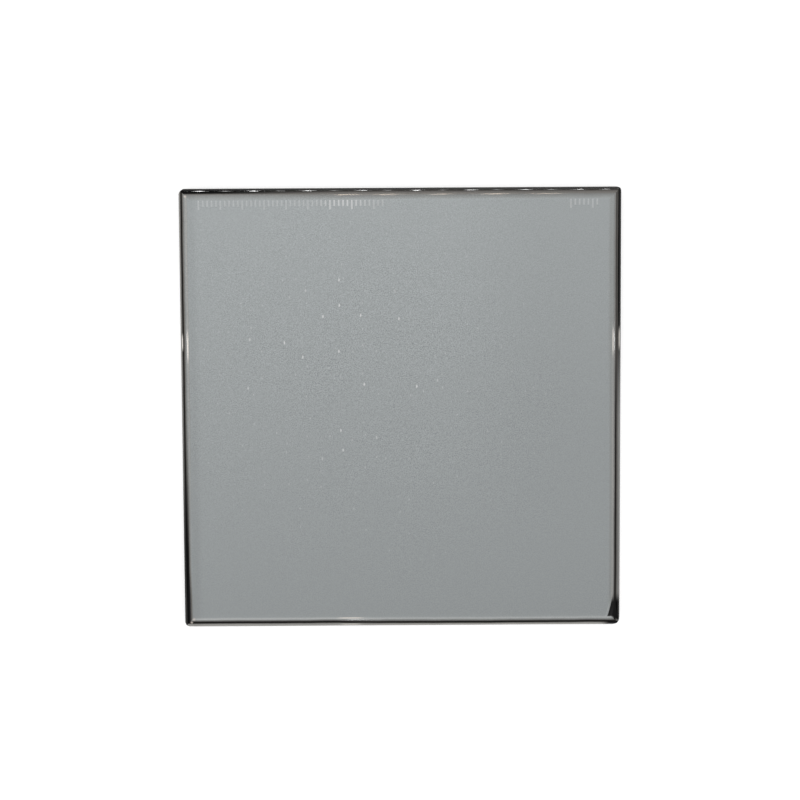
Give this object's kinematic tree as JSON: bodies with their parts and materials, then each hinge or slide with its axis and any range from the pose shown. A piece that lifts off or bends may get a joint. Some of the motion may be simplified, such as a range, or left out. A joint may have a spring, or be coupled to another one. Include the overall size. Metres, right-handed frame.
{
  "type": "square diffusion filter",
  "caption": "Square glass filter plate with pencil-polished edges and dubbed corners, which slides into a camera filter tray to soften the picture.",
  "frame": {"origin": "centre of the back face, on which the plate lies", "axes": "+Z out of the front face, +Y towards the top edge as the plate stands in a tray, +X towards the right edge seen from the front"},
  "size_m": [0.1016, 0.1016, 0.004],
  "materials": {
    "mist_glass": "polished grey glass with a fine mist, rounds and faces alike"
  },
  "bodies": {
    "root": {"filter_plate": "mist_glass"}
  },
  "joints": []
}
